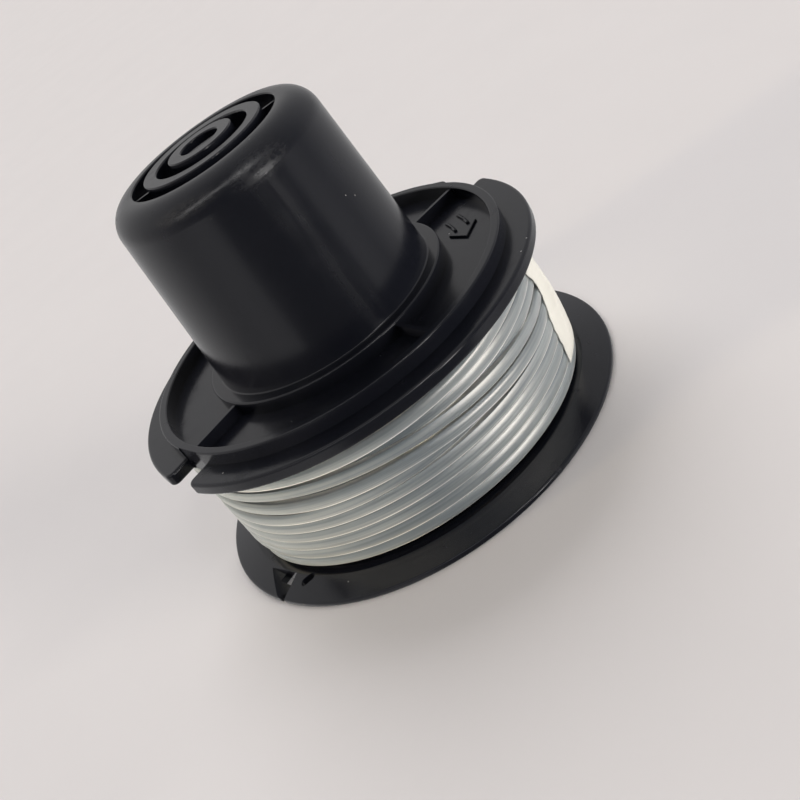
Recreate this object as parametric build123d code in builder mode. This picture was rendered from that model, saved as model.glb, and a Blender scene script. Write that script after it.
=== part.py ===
"""Trimmer line spool with a bump knob, a full winding of line and a strip of tape.

The spool stands on its lower flange: +Z is the spool's axis towards the knob, and the origin
is the centre of the lower flange's outer face. Lengths are millimetres. Angles are degrees
about +Z, counted from +X.
"""
import os
from math import cos, radians, sin

from build123d import *

# Drum the line is wound on, and the winding's depth on it
hub_bore_r = 29.6
drum_wall = 2.4
winding_depth = 6.2

# Lower flange: flat under the winding, thinner towards its edge
lower_flange_r = 44.2
lower_flange_t = 2.5
lower_flange_edge_t = 1.1
lower_flange_flat = 0.6
flange_edge_round = 0.45

# Upper flange: a plate with a raised rim, a ledge outside the rim and a raised collar
plate_bottom = 29.55
plate_t = 2.5
ledge_width = 5.0
plate_edge_round = 0.6
rim_outer_r = 38.3
rim_width = 1.8
rim_height = 2.7
collar_width = 2.5
collar_round = 0.4
edge_break = 0.3

# Line slots through the upper flange's ledge: angle and width of each
line_slots = ((-154.5, 7.2), (24.5, 10.5))
slot_corner_round = 1.4
slot_floor_round = 1.0
slot_flat_depth = 0.35
slot_flat_inset = 0.2

# Ribs across the ring between collar and rim
rib_angles = (-154.1, -70.0, 19.0, 109.0)
rib_t = 0.8
rib_drop = 0.5

# Raised arrow on the ring that shows which way the line is wound
arrow_r = 30.6
arrow_tip_angle = -13.7
arrow_head_sweep = 7.6
arrow_head_half = 2.75
arrow_tail_angle = -4.4
arrow_tail_sweep = 10.0
arrow_tail_half = 1.4
arrow_line_t = 0.7
arrow_height = 0.45
arrow_round = 0.25

# Bump knob
knob_base_r = 23.4
knob_top_r = 21.2
knob_top = 72.75
knob_shoulder_round = 5.2
knob_wall = 2.4
pocket_r = 15.3
pocket_depth = 3.2

# Rings in the knob's pocket, standing proud towards the middle, with two webs and a blind hole
outer_ring_r = 12.45
outer_ring_rise = 0.45
inner_ring_r = 6.7
inner_ring_rise = 1.05
ring_width = 2.8
web_count = 2
web_t = 0.6
web_drop = 1.0
blind_hole_step = 0.2
blind_hole_depth = 3.0
key_bar_t = 1.5
key_bar_drop = 0.8

# Inside the hub: spring boss under the knob's top, and indexing lugs above a step in the bore
boss_r = 7.5
boss_length = 9.0
bore_step = 0.8
lug_count = 6
lug_width = 6.0
lug_tip_width = 2.5
lug_depth = 3.0
lug_height = 6.0

# Line ramp with its opening and nick, and the line hole, in the lower flange
ramp_angle = -149.5
ramp_reach = 5.4
ramp_length = 9.5
ramp_depth = 1.8
ramp_opening_width = 4.2
ramp_opening_length = 2.0
nick_width = 1.3
nick_depth = 1.0
line_hole_angle = -143.7
line_hole_inset = 4.6
line_hole_length = 3.3
line_hole_width = 1.6
line_hole_turn = -45.0

# Turns of the wound line, the lowest standing off the lower flange
turn_count = 11
turn_valley = 0.75
turn_stand_off = 1.3

# Tape over the line's end
tape_width = 19.0
tape_bottom = 5.4
tape_t = 0.2
tape_start_angle = -32.0
tape_end_angle = 38.0

drum_r = hub_bore_r + drum_wall
winding_r = drum_r + winding_depth
plate_r = rim_outer_r + ledge_width
plate_top = plate_bottom + plate_t
rim_top = plate_top + rim_height
rim_inner_r = rim_outer_r - rim_width
collar_r = knob_base_r + collar_width
pocket_floor = knob_top - pocket_depth
ceiling = pocket_floor - knob_wall
blind_hole_r = inner_ring_r - ring_width - blind_hole_step
key_bar_top = knob_top + inner_ring_rise - key_bar_drop
knob_lean = (knob_base_r - knob_top_r) / (knob_top - rim_top)
knob_inner_base_r = knob_base_r - knob_wall + knob_lean * (rim_top - plate_bottom)
knob_inner_top_r = knob_top_r - knob_wall + knob_lean * (knob_top - ceiling)
lug_ring_r = hub_bore_r - bore_step
lug_bottom = plate_bottom - lug_height
turn_low = lower_flange_t + turn_stand_off
turn_pitch = (plate_bottom - turn_low) / turn_count


def outward_plane(angle, radius, height):
    """Plane facing away from the axis, with its X along increasing angle and its Y up."""
    out = Vector(cos(radians(angle)), sin(radians(angle)), 0)
    along = Vector(-sin(radians(angle)), cos(radians(angle)), 0)
    return Plane(origin=out * radius + Vector(0, 0, height), x_dir=along, z_dir=out)


with BuildPart() as spool_body:
    # Outer part of the upper flange, open at the two line slots and rounded all along its edge
    with BuildSketch(Plane.XY.offset(plate_bottom)):
        Circle(plate_r)
        for angle, width in line_slots:
            with Locations(Rotation(0, 0, angle) * Location((rim_inner_r, 0))):
                Rectangle(plate_r, width, align=(Align.MIN, Align.CENTER), mode=Mode.SUBTRACT)
        fillet(vertices().sort_by(SortBy.DISTANCE)[-4:], slot_corner_round)
        fillet(vertices().sort_by(SortBy.DISTANCE)[:4], slot_floor_round)
    extrude(amount=plate_t)
    fillet(faces().filter_by(Axis.Z).edges(), plate_edge_round)
    with Locations((0, 0, plate_bottom)):
        Cylinder(drum_r, plate_t, align=(Align.CENTER, Align.CENTER, Align.MIN), mode=Mode.SUBTRACT)

    # Lower flange, drum, rim, collar and hollow knob as one turned section
    with BuildSketch(Plane.XZ):
        with BuildLine():
            Polyline(
                (hub_bore_r, 0),
                (lower_flange_r, 0),
                (lower_flange_r, lower_flange_edge_t),
                (winding_r + lower_flange_flat, lower_flange_t),
                (drum_r, lower_flange_t),
                (drum_r, plate_bottom),
                (rim_outer_r, plate_bottom),
                (rim_outer_r, rim_top),
                (rim_inner_r, rim_top),
                (rim_inner_r, plate_top),
                (collar_r, plate_top),
                (collar_r, rim_top),
                (knob_base_r, rim_top),
                (knob_top_r, knob_top),
                (pocket_r, knob_top),
                (pocket_r, pocket_floor),
                (0, pocket_floor),
                (0, ceiling),
                (knob_inner_top_r, ceiling),
                (knob_inner_base_r, plate_bottom),
                (lug_ring_r, plate_bottom),
                (lug_ring_r, lug_bottom),
                (hub_bore_r, lug_bottom),
                close=True,
            )
        make_face()
        for corner, radius in (
            ((hub_bore_r, 0), edge_break),
            ((lower_flange_r, 0), flange_edge_round),
            ((lower_flange_r, lower_flange_edge_t), flange_edge_round),
            ((rim_outer_r, rim_top), edge_break),
            ((rim_inner_r, rim_top), edge_break),
            ((collar_r, rim_top), collar_round),
            ((knob_base_r, rim_top), edge_break),
            ((knob_top_r, knob_top), knob_shoulder_round),
            ((pocket_r, knob_top), edge_break),
            ((knob_inner_top_r, ceiling), knob_wall),
            ((knob_inner_base_r, plate_bottom), edge_break),
        ):
            fillet(vertices().sort_by_distance(corner)[0], radius)
    revolve(axis=Axis.Z)

    # Flat on the rim's outside at each line slot
    with BuildSketch(Plane.XY.offset(plate_bottom)):
        for angle, width in line_slots:
            with Locations(Rotation(0, 0, angle) * Location((rim_outer_r - slot_flat_depth, 0))):
                Rectangle(ledge_width, width - 2 * slot_flat_inset, align=(Align.MIN, Align.CENTER))
    extrude(amount=plate_t + rim_height, mode=Mode.SUBTRACT)

    # Rings standing in the knob's pocket
    for ring_r, rise in ((outer_ring_r, outer_ring_rise), (inner_ring_r, inner_ring_rise)):
        with BuildSketch(Plane.XY.offset(pocket_floor)):
            Circle(ring_r)
            Circle(ring_r - ring_width, mode=Mode.SUBTRACT)
        extrude(amount=pocket_depth + rise)
        fillet(edges().filter_by_position(Axis.Z, knob_top + rise, knob_top + rise), edge_break)

    # Webs across the pocket's outer groove
    with Locations((0, 0, pocket_floor)):
        with PolarLocations(outer_ring_r - edge_break, web_count):
            Box(
                pocket_r - outer_ring_r + 2 * edge_break,
                web_t,
                pocket_depth - web_drop,
                align=(Align.MIN, Align.CENTER, Align.MIN),
            )

    # Spring boss under the knob's top, with a blind hole from above and a bar across the hole
    with Locations((0, 0, ceiling)):
        Cylinder(boss_r, boss_length, align=(Align.CENTER, Align.CENTER, Align.MAX))
    with Locations((0, 0, pocket_floor)):
        Hole(blind_hole_r, depth=blind_hole_depth)
    with Locations((0, 0, pocket_floor - blind_hole_depth)):
        Box(
            2 * (inner_ring_r - ring_width) + edge_break,
            key_bar_t,
            key_bar_top - pocket_floor + blind_hole_depth,
            align=(Align.CENTER, Align.CENTER, Align.MIN),
        )

    # Ribs across the ring between collar and rim
    for angle in rib_angles:
        with Locations(Rotation(0, 0, angle) * Location((collar_r - edge_break, 0, plate_top))):
            Box(
                rim_inner_r - collar_r + 2 * edge_break,
                rib_t,
                rim_height - rib_drop,
                align=(Align.MIN, Align.CENTER, Align.MIN),
            )

    # Raised arrow: an open head and two tail lines, rounded on top
    with BuildSketch(Plane.XY.offset(plate_top)):
        with BuildLine():
            for side in (-1, 1):
                barb_r = arrow_r + side * arrow_head_half
                barb = Vector(barb_r, 0).rotate(Axis.Z, arrow_tip_angle + arrow_head_sweep)
                Line(barb, Vector(arrow_r, 0).rotate(Axis.Z, arrow_tip_angle))
                tail_r = arrow_r + side * arrow_tail_half
                CenterArc((0, 0), tail_r, arrow_tail_angle, arrow_tail_sweep)
        trace(line_width=arrow_line_t)
    extrude(amount=arrow_height)
    arrow_top = plate_top + arrow_height
    fillet(faces().filter_by_position(Axis.Z, arrow_top, arrow_top).edges(), arrow_round)

    # Indexing lugs at the bore's inner end, each with one steep and one sloping side
    for step in range(lug_count):
        lug_plane = outward_plane(360 / lug_count * step, lug_ring_r - lug_depth, plate_bottom)
        with BuildSketch(lug_plane):
            with BuildLine():
                Polyline(
                    (-lug_width / 2, 0),
                    (lug_width / 2, 0),
                    (lug_width / 2, -lug_height),
                    (lug_width / 2 - lug_tip_width, -lug_height),
                    close=True,
                )
            make_face()
        extrude(amount=lug_depth + edge_break)

    # Line ramp cut into the lower flange, with an opening at its deep end and a nick in the edge
    with BuildSketch(outward_plane(ramp_angle, lower_flange_r - ramp_reach, lower_flange_t)):
        with BuildLine():
            Polyline((0, 0), (-ramp_length, 0), (0, -ramp_depth), close=True)
        make_face()
    extrude(amount=2 * ramp_reach, mode=Mode.SUBTRACT)
    with BuildSketch(Plane.XY):
        with Locations(Rotation(0, 0, ramp_angle) * Location((lower_flange_r - ramp_reach, 0))):
            Rectangle(ramp_opening_length, ramp_opening_width, align=(Align.MIN, Align.MAX))
        with Locations(Rotation(0, 0, ramp_angle) * Location((lower_flange_r - nick_depth, 0))):
            Rectangle(2 * nick_depth, nick_width, align=(Align.MIN, Align.MAX))
        line_hole_spot = Location((lower_flange_r - line_hole_inset, 0), (0, 0, line_hole_turn))
        with Locations(Rotation(0, 0, line_hole_angle) * line_hole_spot):
            SlotOverall(line_hole_length, line_hole_width)
    extrude(amount=lower_flange_t, mode=Mode.SUBTRACT)

with BuildPart() as line_winding:
    # Turned section whose outside is a row of round-backed turns up to the upper flange
    valley_r = winding_r - turn_valley
    with BuildSketch(Plane.XZ):
        with BuildLine():
            for turn in range(turn_count):
                low = turn_low + turn * turn_pitch
                ThreePointArc(
                    (valley_r, low),
                    (winding_r, low + turn_pitch / 2),
                    (valley_r, low + turn_pitch),
                )
            Polyline(
                (valley_r, turn_low),
                (valley_r - turn_pitch / 2, lower_flange_t),
                (drum_r, lower_flange_t),
                (drum_r, plate_bottom),
                (valley_r, plate_bottom),
            )
        make_face()
    revolve(axis=Axis.Z)

with BuildPart() as end_tape:
    # Thin strip lying on the turns, bent round the axis
    with BuildSketch(Plane(Rotation(0, 0, tape_start_angle) * Plane.XZ.location)):
        with Locations((winding_r, tape_bottom)):
            Rectangle(tape_t, tape_width, align=(Align.MIN, Align.MIN))
    revolve(axis=Axis.Z, revolution_arc=tape_end_angle - tape_start_angle)

spool_body.part.label = "spool_body"
line_winding.part.label = "line_winding"
end_tape.part.label = "end_tape"

os.makedirs("parts", exist_ok=True)
export_step(spool_body.part, "parts/spool_body.step")
export_step(line_winding.part, "parts/line_winding.step")
export_step(end_tape.part, "parts/end_tape.step")
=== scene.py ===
"""Looks of the trimmer line spool: black moulded body, wound nylon line, strip of tape.

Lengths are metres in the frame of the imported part: +Z is the spool's axis towards the knob and
the floor is at zero. Angles round the axis are degrees counted from +X.
"""

import bpy
import numpy as np
from mathutils import Matrix, Vector


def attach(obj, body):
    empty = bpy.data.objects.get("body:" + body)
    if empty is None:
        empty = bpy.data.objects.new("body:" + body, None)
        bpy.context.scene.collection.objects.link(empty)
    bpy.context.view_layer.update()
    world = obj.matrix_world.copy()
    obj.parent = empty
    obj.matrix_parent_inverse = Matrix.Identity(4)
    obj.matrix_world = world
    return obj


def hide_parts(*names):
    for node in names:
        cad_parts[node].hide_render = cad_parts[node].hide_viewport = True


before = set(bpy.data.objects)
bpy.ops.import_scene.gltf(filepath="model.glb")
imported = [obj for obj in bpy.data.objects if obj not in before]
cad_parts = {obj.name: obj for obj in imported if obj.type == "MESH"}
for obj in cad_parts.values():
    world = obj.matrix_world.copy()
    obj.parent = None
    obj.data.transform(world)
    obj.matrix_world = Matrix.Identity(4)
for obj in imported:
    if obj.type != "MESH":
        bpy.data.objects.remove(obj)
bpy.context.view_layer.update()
MM = 0.001

# Wound line: half the width of one strand, the layers' outer radii and their depth
STRAND_HALF = 1.17 * MM
OUTER_LAYER_R = 38.2 * MM
UNDER_LAYER_R = 36.25 * MM
LAYER_DEPTH = 1.85 * MM
# How far a strand's face falls away towards the groove, and towards an open gap
GROOVE_DEPTH = 0.27 * MM
GAP_ROUND = 0.5 * MM
GAP_REACH = 0.3 * MM
# Difference in radius at which one turn lies on top of its neighbour
ON_TOP = 0.9 * MM
FACE_POINTS = 13
# How far the back of a strand's rim stands behind its face
RIM_DEPTH = 0.1 * MM
# Slow in-and-out sway of the outer layer: size, turns of the wave per turn of the line, and start
SWAY = (0.05 * MM, 3.1, 0.4)
# Painted highlight along a strand's lower edge, where light gathers: its share of the width
PAINTED_LIT_EDGE = 0.15
STEPS_PER_TURN = 280
# Steps over which the outer path is averaged, a ninth of a turn
SMOOTHED_STEPS = 31
UNDER_STEPS_PER_TURN = 120

# Heights in millimetres of the outer layer's turns at these angles round the axis. The lower
# turns lie level, and the upper ones cross them at a slant and leave narrow gaps.
TURN_ANGLES = (-180, -160, -137, -115, -100, -90, -80, -70, -60, -48, -35, 0)
TURN_HEIGHTS = (
    (5.15, 5.1, 5.05, 5.0, 4.97, 4.93, 4.88, 4.8, 4.7, 4.57, 4.4, 4.3),
    (7.55, 7.5, 7.45, 7.4, 7.35, 7.3, 7.2, 7.12, 7.05, 6.95, 6.75, 6.6),
    (9.85, 9.8, 9.75, 9.7, 9.65, 9.6, 9.5, 9.45, 9.38, 9.3, 9.15, 9.0),
    (12.1, 12.05, 12.0, 11.95, 11.9, 11.8, 11.72, 11.65, 11.6, 11.5, 11.4, 11.3),
    (14.35, 14.3, 14.25, 14.2, 14.2, 14.15, 14.1, 14.05, 14.0, 13.9, 13.75, 13.6),
    (16.7, 16.6, 16.5, 16.42, 16.4, 16.4, 16.4, 16.35, 16.3, 16.25, 16.2, 16.1),
    (20.4, 19.95, 19.2, 18.6, 18.4, 18.15, 17.7, 17.2, 16.75, 16.4, 16.1, 15.9),
    (22.6, 22.7, 22.75, 22.15, 21.55, 21.05, 20.55, 19.95, 19.45, 19.15, 18.65, 18.3),
    (22.4, 22.2, 22.0, 21.4, 21.0, 20.8, 20.6, 20.6, 20.8, 21.1, 21.5, 21.3),
    (24.6, 24.4, 24.0, 23.6, 23.3, 23.1, 23.0, 23.0, 23.15, 23.5, 23.8, 23.7),
    (25.4, 25.5, 25.6, 25.3, 25.15, 25.2, 25.25, 25.3, 25.5, 26.0, 26.2, 26.2),
    (28.3, 28.3, 28.3, 28.3, 28.3, 28.3, 28.3, 28.3, 28.3, 28.35, 28.35, 28.35),
)
# Turns that sink under a neighbour: how far in, in millimetres, at the same angles
SUNK_TURNS = {
    0: (1.9, 0.1, 0.0, 0.0, 0.0, 0.0, 0.0, 0.0, 0.0, 0.0, 0.0, 0.0),
    5: (0.0, 0.0, 0.0, 0.05, 0.3, 0.6, 0.95, 1.4, 1.75, 1.9, 1.9, 1.9),
    8: (1.9, 1.9, 1.9, 1.9, 1.9, 1.9, 1.9, 1.9, 1.7, 0.7, 0.0, 0.0),
    9: (1.9, 1.9, 1.9, 1.7, 1.3, 0.9, 0.5, 0.2, 0.0, 0.0, 0.0, 0.0),
    11: (0.0, 0.0, 0.0, 0.0, 0.0, 0.0, 0.0, 0.0, 0.0, 0.0, 0.4, 1.9),
}
UNDER_TURN_COUNT = 12
UNDER_LOW = 3.7 * MM
UNDER_HIGH = 28.3 * MM

# Tape: outline of its left edge, from the bottom up, and how far it stands off the turns
TAPE_BOTTOM = 5.6 * MM
TAPE_TOP = 24.3 * MM
TAPE_LEFT = (
    (5.6, -35.2), (7.0, -35.0), (8.0, -34.0), (10.0, -33.5), (12.0, -33.0), (14.0, -32.0),
    (16.0, -29.8), (18.0, -27.3), (20.0, -26.3), (22.0, -27.2), (24.3, -29.5),
)
TAPE_RIGHT_ANGLE = 38.0
TAPE_R = 38.39 * MM
TAPE_LIFT = 1.05 * MM
TAPE_LIFT_ANGLE = -21.0
TAPE_LIFT_SPREAD = 11.0
TAPE_STUCK = 7.0
TAPE_T = 0.16 * MM
TAPE_GRID = (160, 90)
# Torn edge: size in degrees, waves per millimetre in radians, and start
TAPE_EDGE_WAVES = ((0.12, 2.9, 0.0), (0.05, 7.3, 1.0))
# Share of the groove that the film sags at its stuck edge, and how much less elsewhere
TAPE_SAG = 0.22
TAPE_SAG_LOSS = 0.1

# Worn places on the knob's shoulder, a scuff and a fainter streak, paler by wear and painted sheen:
# middle, turn about the axis, half lengths, how rough the place is and how much paler
WORN_AND_SHEEN_PLACES = (
    ((6.0 * MM, -19.9 * MM, 69.6 * MM), np.radians(17), (9.0 * MM, 4.5 * MM, 3.2 * MM), 1.0, 0.02),
    ((-7.6 * MM, -19.2 * MM, 70.4 * MM), np.radians(-22), (9.5 * MM, 4.5 * MM, 1.5 * MM), 0.15, 0.04),
)

# Colours, darkest and lightest
BLACK = ((0.0046, 0.0054, 0.0086), (0.0072, 0.0080, 0.0118))
# Pale colour of the dust specks and of the shoulder's wear, partly painted sheen
DUST_WEAR_AND_SHEEN = (0.3, 0.3, 0.3)
LINE = ((0.098, 0.126, 0.148), (0.302, 0.334, 0.348))
# Colour of the painted highlight along the strands' lower edges
PAINTED_EDGE_HIGHLIGHT = (0.86, 0.89, 0.91)
TAPE = ((0.575, 0.582, 0.555), (0.635, 0.642, 0.615))
FLOOR = ((0.67, 0.654, 0.662), (0.70, 0.682, 0.688))

# Floor disc: radius of the small hole under the hub, outer radius, rings and steps round
FLOOR_HOLE = 1.0 * MM
FLOOR_R = 6.0
FLOOR_RINGS = 40
FLOOR_STEPS = 96

# Camera: place, pitch and roll that the photograph's circles give, and its lens
EYE = Vector((1.61, -207.42, 120.09)) * MM
CAMERA_PITCH = 0.49287
CAMERA_ROLL = -0.63373
CAMERA_LENS = 52.65
SENSOR_WIDTH = 36.0

# Room light: from and to on an axis of the direction, and the light at each end
ROOM_DEPTH = (-0.85, 0.5, 0.07, 0.48)
ROOM_HEIGHT = (-0.15, 0.02, 1.2, 1.0)
ROOM_SIDE = (-0.7, 0.7, 1.1, 0.84)
# Long ceiling lamp across the front: normal of its plane, half width, ends and light
TUBE_NORMAL = (0.0, 0.8, 0.6)
TUBE_HALF = 0.07
TUBE_LEFT = (-0.95, -0.5)
TUBE_RIGHT = (0.45, 0.7)
TUBE_LIGHT = 3.0
# Low window at the right: direction it stands in, width in degrees, strength and colour
RIGHT_WINDOW = ((0.73, -0.67, 0.13), 30, 2.75, (1.0, 0.92, 0.82))
# Walls beside the camera, below the horizon, where only gloss shows them: normal of the wall's
# edge, where it begins and fades out, and its light
WALLS = (
    ((0.643, 0.766, 0.0), (-0.02, 0.07), (0.1, 0.6), 0.34),
    ((-0.88, 0.476, 0.0), (-0.05, 0.15), (0.25, 0.85), 0.36),
)


def mesh_piece(name, points, faces, material, uv=None):
    """Makes a smooth-shaded mesh object from an array of points and its faces."""
    mesh = bpy.data.meshes.new(name)
    mesh.from_pydata(points.reshape(-1, 3), [], faces)
    mesh.polygons.foreach_set("use_smooth", np.ones(len(mesh.polygons), bool))
    if uv is not None:
        corners = np.empty(len(mesh.loops), np.int32)
        mesh.loops.foreach_get("vertex_index", corners)
        layer = mesh.uv_layers.new(name="along")
        layer.data.foreach_set("uv", uv.reshape(-1, 2)[corners].ravel())
    mesh.materials.append(material)
    mesh.update()
    piece = bpy.data.objects.new(name, mesh)
    bpy.context.scene.collection.objects.link(piece)
    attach(piece, "root")
    return piece


def grid_faces(rows, columns, first=0):
    """Quads between neighbouring points of a grid, closed along its columns."""
    row, column = np.meshgrid(np.arange(rows - 1), np.arange(columns), indexing="ij")
    here = row * columns + column
    right = row * columns + (column + 1) % columns
    quads = np.stack((here, here + columns, right + columns, right), axis=-1)
    return quads.reshape(-1, 4) + first


def smoothed(values, width):
    """Values averaged along the path with a raised-cosine window of the given width."""
    window = 1 + np.cos(np.linspace(-np.pi, np.pi, width))
    padded = np.pad(values, width // 2, mode="edge")
    return np.convolve(padded, window / window.sum(), mode="valid")[: len(values)]


def wound_strand(angle, radius, height, steps_per_turn):
    """Carries a lens-shaped section along a path that winds round the axis.

    The section's face runs from the groove shared with the turn below to the groove shared with
    the turn above, half-way between their heights, or ends at the strand's own width where the
    neighbour is further away or lies at another depth. Its radius falls with the square of the
    place across the face, and with the sixth power beside a gap. Four more points close the
    section behind the face.
    """
    gap = np.full(steps_per_turn, np.inf)
    level = np.full(steps_per_turn, radius[0])
    next_height = np.append(height[steps_per_turn:], gap)
    last_height = np.append(-gap, height[:-steps_per_turn])
    next_radius = np.append(radius[steps_per_turn:], level)
    last_radius = np.append(level, radius[:-steps_per_turn])
    sides = []
    neighbours = ((last_height, last_radius, -1), (next_height, next_radius, 1))
    for other_height, other_radius, sign in neighbours:
        room = sign * (other_height - height) / 2
        apart = np.clip(np.abs(radius - other_radius) / ON_TOP, 0, 1)
        reach = np.minimum(room, STRAND_HALF) * (1 - apart) + STRAND_HALF * apart
        sides.append((sign * reach, np.clip((room - STRAND_HALF) / GAP_REACH, 0, 1)))
    (low, low_gap), (high, high_gap) = sides
    across = np.sin(np.linspace(-np.pi / 2, np.pi / 2, FACE_POINTS))
    middle, half = (low + high) / 2, (high - low) / 2
    up = middle[:, None] + half[:, None] * across
    gap_side = np.where(across < 0, low_gap[:, None], high_gap[:, None])
    face = radius[:, None] - GROOVE_DEPTH * across**2 - GAP_ROUND * gap_side * across**6
    behind_edge = face[:, [-1, 0]] - RIM_DEPTH
    behind = np.repeat((radius - LAYER_DEPTH)[:, None], 2, axis=1)
    out = np.concatenate((face, behind_edge[:, :1], behind, behind_edge[:, 1:]), axis=1)
    up = np.concatenate((up, high[:, None], high[:, None], low[:, None], low[:, None]), axis=1)
    up = height[:, None] + up
    points = np.stack((out * np.cos(angle)[:, None], out * np.sin(angle)[:, None], up), axis=-1)
    along = np.broadcast_to((np.abs(angle - angle[0]) * OUTER_LAYER_R)[:, None], out.shape)
    share = np.append((across + 1) / 2, (1.05, 1.2, 1.2, 1.2))
    return points, np.stack((along, np.broadcast_to(share, out.shape)), axis=-1)


def outer_path():
    """Angle, radius and height along the outer layer, one turn after the next.

    Each turn's heights stand at fixed angles on the photographed half, and the path climbs from
    the end of one turn to the start of the next on the far half. The result is averaged along
    the path so that the turns bend smoothly.
    """
    turns = len(TURN_HEIGHTS)
    knots = (np.array(TURN_ANGLES)[None, :] + 360 * np.arange(turns)[:, None]).ravel()
    heights = np.array(TURN_HEIGHTS).ravel() * MM
    sunk = np.zeros((turns, len(TURN_ANGLES)))
    for index, depth in SUNK_TURNS.items():
        sunk[index] = depth
    degrees = np.arange(-180, 360 * turns - 359, 360 / STEPS_PER_TURN)
    height = smoothed(np.interp(degrees, knots, heights), SMOOTHED_STEPS)
    inwards = smoothed(np.interp(degrees, knots, sunk.ravel() * MM), SMOOTHED_STEPS)
    angle = np.radians(degrees)
    size, waves, start = SWAY
    return angle, OUTER_LAYER_R - inwards + size * np.sin(angle * waves + start), height


def under_path():
    """Angle, radius and height of the layer beneath: an even climb from flange to flange."""
    turns = UNDER_TURN_COUNT
    angle = np.arange(UNDER_STEPS_PER_TURN * turns) * (2 * np.pi / UNDER_STEPS_PER_TURN)
    height = np.linspace(UNDER_LOW, UNDER_HIGH, len(angle))
    return angle, np.full(len(angle), UNDER_LAYER_R), height


def wound_line(material):
    """The outer layer and the layer beneath it, as two strands in one mesh with capped ends."""
    points, faces, uvs, first = [], [], [], 0
    layers = ((outer_path(), STEPS_PER_TURN), (under_path(), UNDER_STEPS_PER_TURN))
    for path, steps_per_turn in layers:
        strand, uv = wound_strand(*path, steps_per_turn)
        points.append(strand.reshape(-1, 3))
        uvs.append(uv.reshape(-1, 2))
        steps, columns = strand.shape[:2]
        ring = np.arange(columns) + first
        faces += grid_faces(steps, columns, first).tolist()
        faces += [ring.tolist(), (ring[::-1] + (steps - 1) * columns).tolist()]
        first += steps * columns
    return mesh_piece("wound_line", np.concatenate(points), faces, material, np.concatenate(uvs))


def tape_strip(material):
    """Strip bent round the turns, as a function of the place along it and its height.

    Its radius is the turns' outer radius, less a sag between two turns that is deepest along
    the stuck edge, plus a bell-shaped lift behind that edge where the film stands off the
    line. A Solidify modifier gives the film its thickness.
    """
    columns, rows = TAPE_GRID
    along, up = np.meshgrid(np.linspace(0, 1, columns), np.linspace(0, 1, rows), indexing="ij")
    height = TAPE_BOTTOM + (TAPE_TOP - TAPE_BOTTOM) * up
    edge_z, edge_angle = np.array(TAPE_LEFT).T
    left = np.interp(height, edge_z * MM, edge_angle)
    for size, waves, start in TAPE_EDGE_WAVES:
        left = left + size * np.sin(height / MM * waves + start)
    degrees = left + (TAPE_RIGHT_ANGLE - left) * along
    bell = np.exp(-(((degrees - TAPE_LIFT_ANGLE) / TAPE_LIFT_SPREAD) ** 2))
    settled = np.clip((degrees - left) / TAPE_STUCK, 0, 1) ** 2
    lift = TAPE_LIFT * bell * settled * np.sin(np.pi * (0.06 + 0.88 * up))
    turns = np.array(TURN_HEIGHTS)[:, TURN_ANGLES.index(-35)] * MM
    off_crest = np.abs(height[..., None] - turns).min(axis=-1)
    groove = GROOVE_DEPTH * np.clip(off_crest / STRAND_HALF, 0, 1) ** 2
    sag = groove * (TAPE_SAG - TAPE_SAG_LOSS * settled)
    radius = TAPE_R - sag + lift
    angle = np.radians(degrees)
    points = np.stack((radius * np.cos(angle), radius * np.sin(angle), height), axis=-1)
    row, column = np.meshgrid(np.arange(columns - 1), np.arange(rows - 1), indexing="ij")
    here = row * rows + column
    quads = np.stack((here, here + rows, here + rows + 1, here + 1), axis=-1).reshape(-1, 4)
    piece = mesh_piece("tape_strip", points, quads, material)
    film = piece.modifiers.new("film", "SOLIDIFY")
    film.thickness = TAPE_T
    film.offset = 0
    return piece


class Finish:
    """A node material under construction: makes nodes and links them by short calls."""

    def __init__(self, name):
        self.material = bpy.data.materials.new(name)
        self.material.use_nodes = True
        self.tree = self.material.node_tree
        self.shader = self.tree.nodes["Principled BSDF"]
        self.place = self.tree.nodes.new("ShaderNodeTexCoord").outputs["Object"]

    def plug(self, value, socket):
        """Links the socket to another node's output, or sets it to a number or colour."""
        if isinstance(value, bpy.types.NodeSocket):
            self.tree.links.new(value, socket)
        else:
            socket.default_value = value

    def node(self, kind, settings=(), **sockets):
        """New node; an underscore in a socket's name stands for a space."""
        made = self.tree.nodes.new(kind)
        for key, value in settings:
            setattr(made, key, value)
        for key, value in sockets.items():
            self.plug(value, made.inputs[key.replace("_", " ")])
        return made

    def fixed(self, **sockets):
        """Sets the shader's own sockets to what is the same all over the surface."""
        for key, value in sockets.items():
            self.shader.inputs[key.replace("_", " ")].default_value = value

    def link(self, source, socket):
        self.tree.links.new(source, self.shader.inputs[socket])

    def noise(self, scale, detail=4.0, stretch=(1, 1, 1)):
        mapped = self.node("ShaderNodeMapping", Vector=self.place, Scale=stretch)
        made = self.node("ShaderNodeTexNoise", Vector=mapped.outputs[0], Scale=scale, Detail=detail)
        return made.outputs[0]

    def span(self, value, low, high, out_low, out_high):
        made = self.node("ShaderNodeMapRange", Value=value)
        for index, number in enumerate((low, high, out_low, out_high)):
            made.inputs[index + 1].default_value = number
        return made.outputs[0]

    def math(self, operation, first, second):
        made = self.node("ShaderNodeMath", (("operation", operation),))
        self.plug(first, made.inputs[0])
        self.plug(second, made.inputs[1])
        return made.outputs[0]

    def colours(self, value, first, second):
        """Mix from the first colour to the second; the first may be another mix."""
        made = self.node("ShaderNodeMix", (("data_type", "RGBA"),))
        self.plug(value, made.inputs[0])
        self.plug(first if isinstance(first, bpy.types.NodeSocket) else (*first, 1), made.inputs[6])
        self.plug((*second, 1), made.inputs[7])
        return made.outputs[2]

    def bump(self, height, distance, strength=1.0):
        made = self.node("ShaderNodeBump", Height=height, Distance=distance, Strength=strength)
        self.link(made.outputs[0], "Normal")


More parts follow.
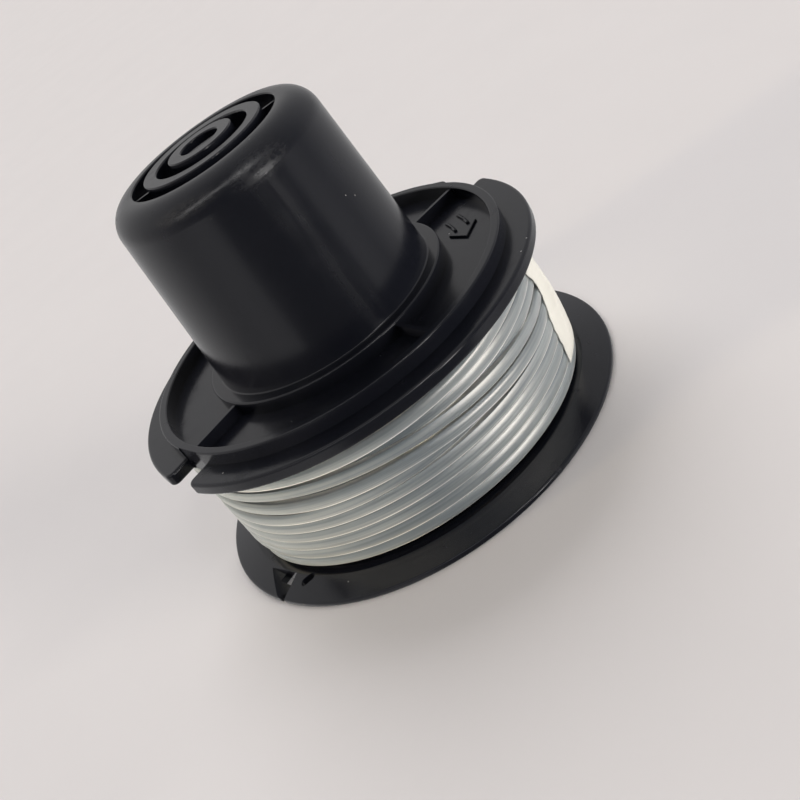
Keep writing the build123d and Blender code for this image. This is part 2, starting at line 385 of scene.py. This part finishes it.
def moulded_black():
    """Glossy black plastic: faint mottle, fine scratches, a scuffed knob shoulder with painted sheen,
    dust specks.
    """
    finish = Finish("moulded_black")
    finish.fixed(IOR=1.5)
    mottle = finish.noise(140, 5)
    scratch = finish.noise(260, 3, (1, 1, 0.06))
    fine = finish.noise(2600, 2)
    dust = finish.node("ShaderNodeTexVoronoi", Vector=finish.place, Scale=330.0).outputs["Distance"]
    speck = finish.span(dust, 0.04, 0.055, 1.0, 0.0)
    chance = finish.span(finish.noise(90, 2), 0.58, 0.62, 0.0, 1.0)
    dusty = finish.math("MULTIPLY", speck, chance)
    scuffed, dust_wear_and_sheen_mask = 0.0, dusty
    for middle, turn, size, roughened, paler_by_wear_and_sheen in WORN_AND_SHEEN_PLACES:
        local = finish.node(
            "ShaderNodeMapping", (("vector_type", "TEXTURE"),),
            Vector=finish.place, Location=middle, Rotation=(0, 0, turn), Scale=size,
        ).outputs[0]
        off = finish.node("ShaderNodeVectorMath", (("operation", "LENGTH"),), Vector=local)
        rubbed = finish.node("ShaderNodeTexNoise", Vector=local, Scale=7.0, Detail=6.0).outputs[0]
        here = finish.math(
            "MULTIPLY",
            finish.span(off.outputs["Value"], 1.0, 0.4, 0.0, 1.0),
            finish.span(rubbed, 0.28, 0.62, 0.0, 1.0),
        )
        scuffed = finish.math("ADD", scuffed, finish.math("MULTIPLY", here, roughened))
        dust_wear_and_sheen_mask = finish.math("MAXIMUM", dust_wear_and_sheen_mask, finish.math("MULTIPLY", here, paler_by_wear_and_sheen))
    # Dust specks and the shoulder's paler places: real dust and wear, partly painted sheen
    finish.link(finish.colours(dust_wear_and_sheen_mask, finish.colours(mottle, *BLACK), DUST_WEAR_AND_SHEEN), "Base Color")
    rough = finish.span(mottle, 0.3, 0.7, 0.15, 0.22)
    rough = finish.math("ADD", rough, finish.span(scratch, 0.55, 0.75, 0.0, 0.12))
    finish.link(finish.math("ADD", rough, finish.math("MULTIPLY", scuffed, 0.2)), "Roughness")
    relief = finish.math("ADD", finish.math("MULTIPLY", scratch, 0.5), fine)
    relief = finish.math("ADD", relief, finish.math("MULTIPLY", scuffed, 1.0))
    finish.bump(relief, 0.03 * MM, 0.35)
    return finish.material


def nylon_line():
    """Pale see-through nylon: painted highlight on each strand's lower edge, painted shade to its top.

    The strand's own map gives the place along it and across its face. Long thin streaks and
    slow changes along the strand give its colour painted light and shade, as light does inside
    a drawn line.
    """
    finish = Finish("nylon_line")
    on_strand = finish.node("ShaderNodeUVMap", (("uv_map", "along"),)).outputs[0]
    drawn = finish.node("ShaderNodeMapping", Vector=on_strand, Scale=(9, 6, 1)).outputs[0]
    streak = finish.node("ShaderNodeTexNoise", Vector=drawn, Scale=1.0, Detail=3.0).outputs[0]
    slow = finish.node("ShaderNodeMapping", Vector=on_strand, Scale=(45, 0.6, 1)).outputs[0]
    cloud = finish.node("ShaderNodeTexNoise", Vector=slow, Scale=1.0, Detail=2.0).outputs[0]
    across = finish.node("ShaderNodeSeparateXYZ", Vector=on_strand).outputs["Y"]
    # Painted light and shade inside the line: slow changes and thin streaks along the strand
    shade = finish.span(cloud, 0.3, 0.7, 0.3, 0.7)
    shade = finish.math("ADD", shade, finish.span(streak, 0.3, 0.7, -0.32, 0.32))
    # Painted shade: darker from the lower edge towards the strand's top
    shade = finish.math("ADD", shade, finish.span(across, PAINTED_LIT_EDGE, 0.95, 0.15, -0.3))
    level = finish.node("ShaderNodeVectorMath", (("operation", "MULTIPLY"),), Vector=finish.place)
    level.inputs[1].default_value = (1, 1, 0)
    radius = finish.node("ShaderNodeVectorMath", (("operation", "LENGTH"),), Vector=level.outputs[0])
    # Painted shade: strands lying deeper than the outer layer's face, down to the layer beneath, are
    # darker
    sunk = finish.span(radius.outputs["Value"], UNDER_LAYER_R, OUTER_LAYER_R - GROOVE_DEPTH, -0.5, 0.0)
    shade = finish.math("ADD", shade, sunk)
    # Painted highlight along each strand's lower edge, broken up by the slow cloud
    painted_edge_light = finish.span(across, PAINTED_LIT_EDGE, 0.5 * PAINTED_LIT_EDGE, 0.0, 1.0)
    painted_edge_light = finish.math("MULTIPLY", painted_edge_light, finish.span(cloud, 0.35, 0.6, 0.4, 1.0))
    finish.link(finish.colours(painted_edge_light, finish.colours(shade, *LINE), PAINTED_EDGE_HIGHLIGHT), "Base Color")
    finish.fixed(IOR=1.53, Sheen_Weight=0.5, Sheen_Roughness=0.4, Sheen_Tint=(1.0, 0.97, 0.92, 1))
    finish.fixed(Coat_Weight=0.9, Coat_IOR=2.1, Coat_Roughness=0.43)
    finish.fixed(Subsurface_Weight=1.0, Subsurface_Radius=(1, 1, 1), Subsurface_Scale=1.2 * MM)
    finish.link(finish.span(streak, 0.3, 0.7, 0.34, 0.46), "Roughness")
    finish.bump(streak, 0.02 * MM, 0.3)
    return finish.material


def cream_tape():
    """Pale cream film with a soft sheen and faint creases."""
    finish = Finish("cream_tape")
    cloud = finish.noise(160, 4)
    finish.link(finish.colours(cloud, *TAPE), "Base Color")
    finish.link(finish.span(finish.noise(300, 3), 0.3, 0.7, 0.36, 0.5), "Roughness")
    finish.fixed(Subsurface_Weight=0.3, Subsurface_Radius=(1, 1, 1), Subsurface_Scale=0.8 * MM)
    finish.bump(finish.noise(420, 4, (1, 1, 0.4)), 0.08 * MM, 0.4)
    return finish.material


def pale_floor():
    """Warm pale grey floor with a faint mottle: rings round the axis, each wider by one ratio.

    Gloss doesn't show the floor, so that the black plastic mirrors the room below the horizon.
    """
    finish = Finish("pale_floor")
    finish.link(finish.colours(finish.noise(30, 4), *FLOOR), "Base Color")
    finish.fixed(Roughness=1.0, Specular_IOR_Level=0.0)
    rings = np.geomspace(FLOOR_HOLE, FLOOR_R, FLOOR_RINGS)
    turns = np.linspace(0, 2 * np.pi, FLOOR_STEPS, endpoint=False)
    radius, turn = np.meshgrid(rings, turns, indexing="ij")
    points = np.stack((radius * np.cos(turn), radius * np.sin(turn), 0 * radius), axis=-1)
    mesh = bpy.data.meshes.new("floor")
    mesh.from_pydata(points.reshape(-1, 3), [], grid_faces(FLOOR_RINGS, FLOOR_STEPS))
    mesh.materials.append(finish.material)
    floor = bpy.data.objects.new("floor", mesh)
    bpy.context.scene.collection.objects.link(floor)
    floor.visible_glossy = False


def soft_sun(name, from_direction, width_degrees, strength, colour, mirrored=False, only_gloss_on=None):
    """Distant soft lamp of the given angular width; only a mirrored one makes a glint.

    A lamp with a piece to gloss gives that piece its glint and lights nothing else, because a
    glint of that strength would burn out the flanges seen from the far side.
    """
    lamp = bpy.data.lights.new(name, "SUN")
    lamp.angle = np.radians(width_degrees)
    lamp.energy = strength
    lamp.color = colour
    holder = bpy.data.objects.new(name, lamp)
    holder.matrix_world = Vector(from_direction).to_track_quat("Z", "Y").to_matrix().to_4x4()
    holder.visible_glossy = mirrored
    if only_gloss_on:
        glossed = bpy.data.collections.new(name)
        glossed.objects.link(only_gloss_on)
        holder.light_linking.receiver_collection = glossed
        holder.visible_diffuse = False
    bpy.context.scene.collection.objects.link(holder)


def studio(line):
    """Pale room, brighter behind the spool than behind the camera, a long lamp and soft windows.

    The room's light is the product of three ramps along the axes. The long lamp and the walls
    beside the camera are added to it: each begins and fades out with the distance of the
    direction from a plane through the middle.
    """
    world = bpy.data.worlds.new("studio")
    world.use_nodes = True
    bpy.context.scene.world = world
    tree = world.node_tree

    def ramp(value, low, high, out_low, out_high):
        made = tree.nodes.new("ShaderNodeMapRange")
        made.interpolation_type = "SMOOTHSTEP"
        tree.links.new(value, made.inputs["Value"])
        for socket, number in zip(list(made.inputs)[1:5], (low, high, out_low, out_high)):
            socket.default_value = number
        return made.outputs[0]

    def combine(operation, *values):
        result = values[0]
        for value in values[1:]:
            made = tree.nodes.new("ShaderNodeMath")
            made.operation = operation
            tree.links.new(result, made.inputs[0])
            tree.links.new(value, made.inputs[1])
            result = made.outputs[0]
        return result

    where = tree.nodes.new("ShaderNodeTexCoord").outputs["Generated"]
    parts = tree.nodes.new("ShaderNodeSeparateXYZ")
    tree.links.new(where, parts.inputs[0])
    side, depth, height = parts.outputs
    room = combine(
        "MULTIPLY", ramp(depth, *ROOM_DEPTH), ramp(height, *ROOM_HEIGHT), ramp(side, *ROOM_SIDE)
    )

    def wall(normal, begins, fades, light):
        slope = tree.nodes.new("ShaderNodeVectorMath")
        slope.operation = "DOT_PRODUCT"
        tree.links.new(where, slope.inputs[0])
        slope.inputs[1].default_value = normal
        off = slope.outputs["Value"]
        return combine("MULTIPLY", ramp(off, *begins, 0.0, light), ramp(off, *fades, 1.0, 0.0))

    edge = 0.3 * TUBE_HALF
    tube = combine(
        "MULTIPLY",
        wall(TUBE_NORMAL, (-TUBE_HALF, -edge), (edge, TUBE_HALF), TUBE_LIGHT),
        ramp(side, *TUBE_LEFT, 0.0, 1.0),
        ramp(side, *TUBE_RIGHT, 1.0, 0.0),
        ramp(height, 0.0, 0.1, 0.0, 1.0),
    )
    low_front = combine("MULTIPLY", ramp(depth, -0.1, -0.25, 0, 1), ramp(height, 0.0, -0.12, 0, 1))
    walls = combine("MULTIPLY", combine("ADD", *(wall(*each) for each in WALLS)), low_front)
    back = tree.nodes["Background"]
    back.inputs["Color"].default_value = (1.0, 0.985, 0.985, 1)
    tree.links.new(combine("ADD", room, tube, walls), back.inputs["Strength"])
    soft_sun("ceiling_lamp", (0.26, -0.58, 0.77), 10, 0.2, (1.0, 0.98, 0.97), True)
    soft_sun("right_window", *RIGHT_WINDOW)
    soft_sun("right_glow", *RIGHT_WINDOW, True, line)
    soft_sun("front_window", (0.545, -0.837, 0.07), 14, 0.52, (1.0, 0.98, 0.97), True)
    soft_sun("right_panel", (0.99, 0.10, 0.035), 6, 1.6, (1.0, 0.93, 0.83))
    soft_sun("left_window", (-0.99, 0.06, 0.035), 6, 5.8, (1.0, 0.85, 0.62))
    soft_sun("back_window", (0.0, 0.72, 0.69), 42, 1.81, (1.0, 0.98, 0.98))


def photo_camera():
    """Camera from the fitted place: its axes are a pitched right-up-back set turned by the roll."""
    sine, cosine = np.sin(CAMERA_PITCH), np.cos(CAMERA_PITCH)
    right = np.array((1.0, 0.0, 0.0))
    back = np.array((0.0, -cosine, sine))
    up = np.cross(back, right)
    across = np.cos(CAMERA_ROLL) * right + np.sin(CAMERA_ROLL) * up
    upward = -np.sin(CAMERA_ROLL) * right + np.cos(CAMERA_ROLL) * up
    axes = np.stack((across, upward, back), axis=1)
    camera = bpy.data.cameras.new("photo_camera")
    camera.sensor_width = SENSOR_WIDTH
    camera.lens = CAMERA_LENS
    camera.clip_start = 0.01
    holder = bpy.data.objects.new("photo_camera", camera)
    holder.matrix_world = Matrix.Translation(EYE) @ Matrix(axes.tolist()).to_4x4()
    bpy.context.scene.collection.objects.link(holder)
    bpy.context.scene.camera = holder


def dress(node, material):
    """Gives a CAD node the material in all its slots."""
    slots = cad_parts[node].data.materials
    slots.clear()
    slots.append(material)


dress("spool_body", moulded_black())
line = wound_line(nylon_line())
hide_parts("line_winding")
tape = tape_strip(cream_tape())
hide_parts("end_tape")
pale_floor()
studio(line)
photo_camera()
bpy.context.scene.view_settings.view_transform = "Standard"
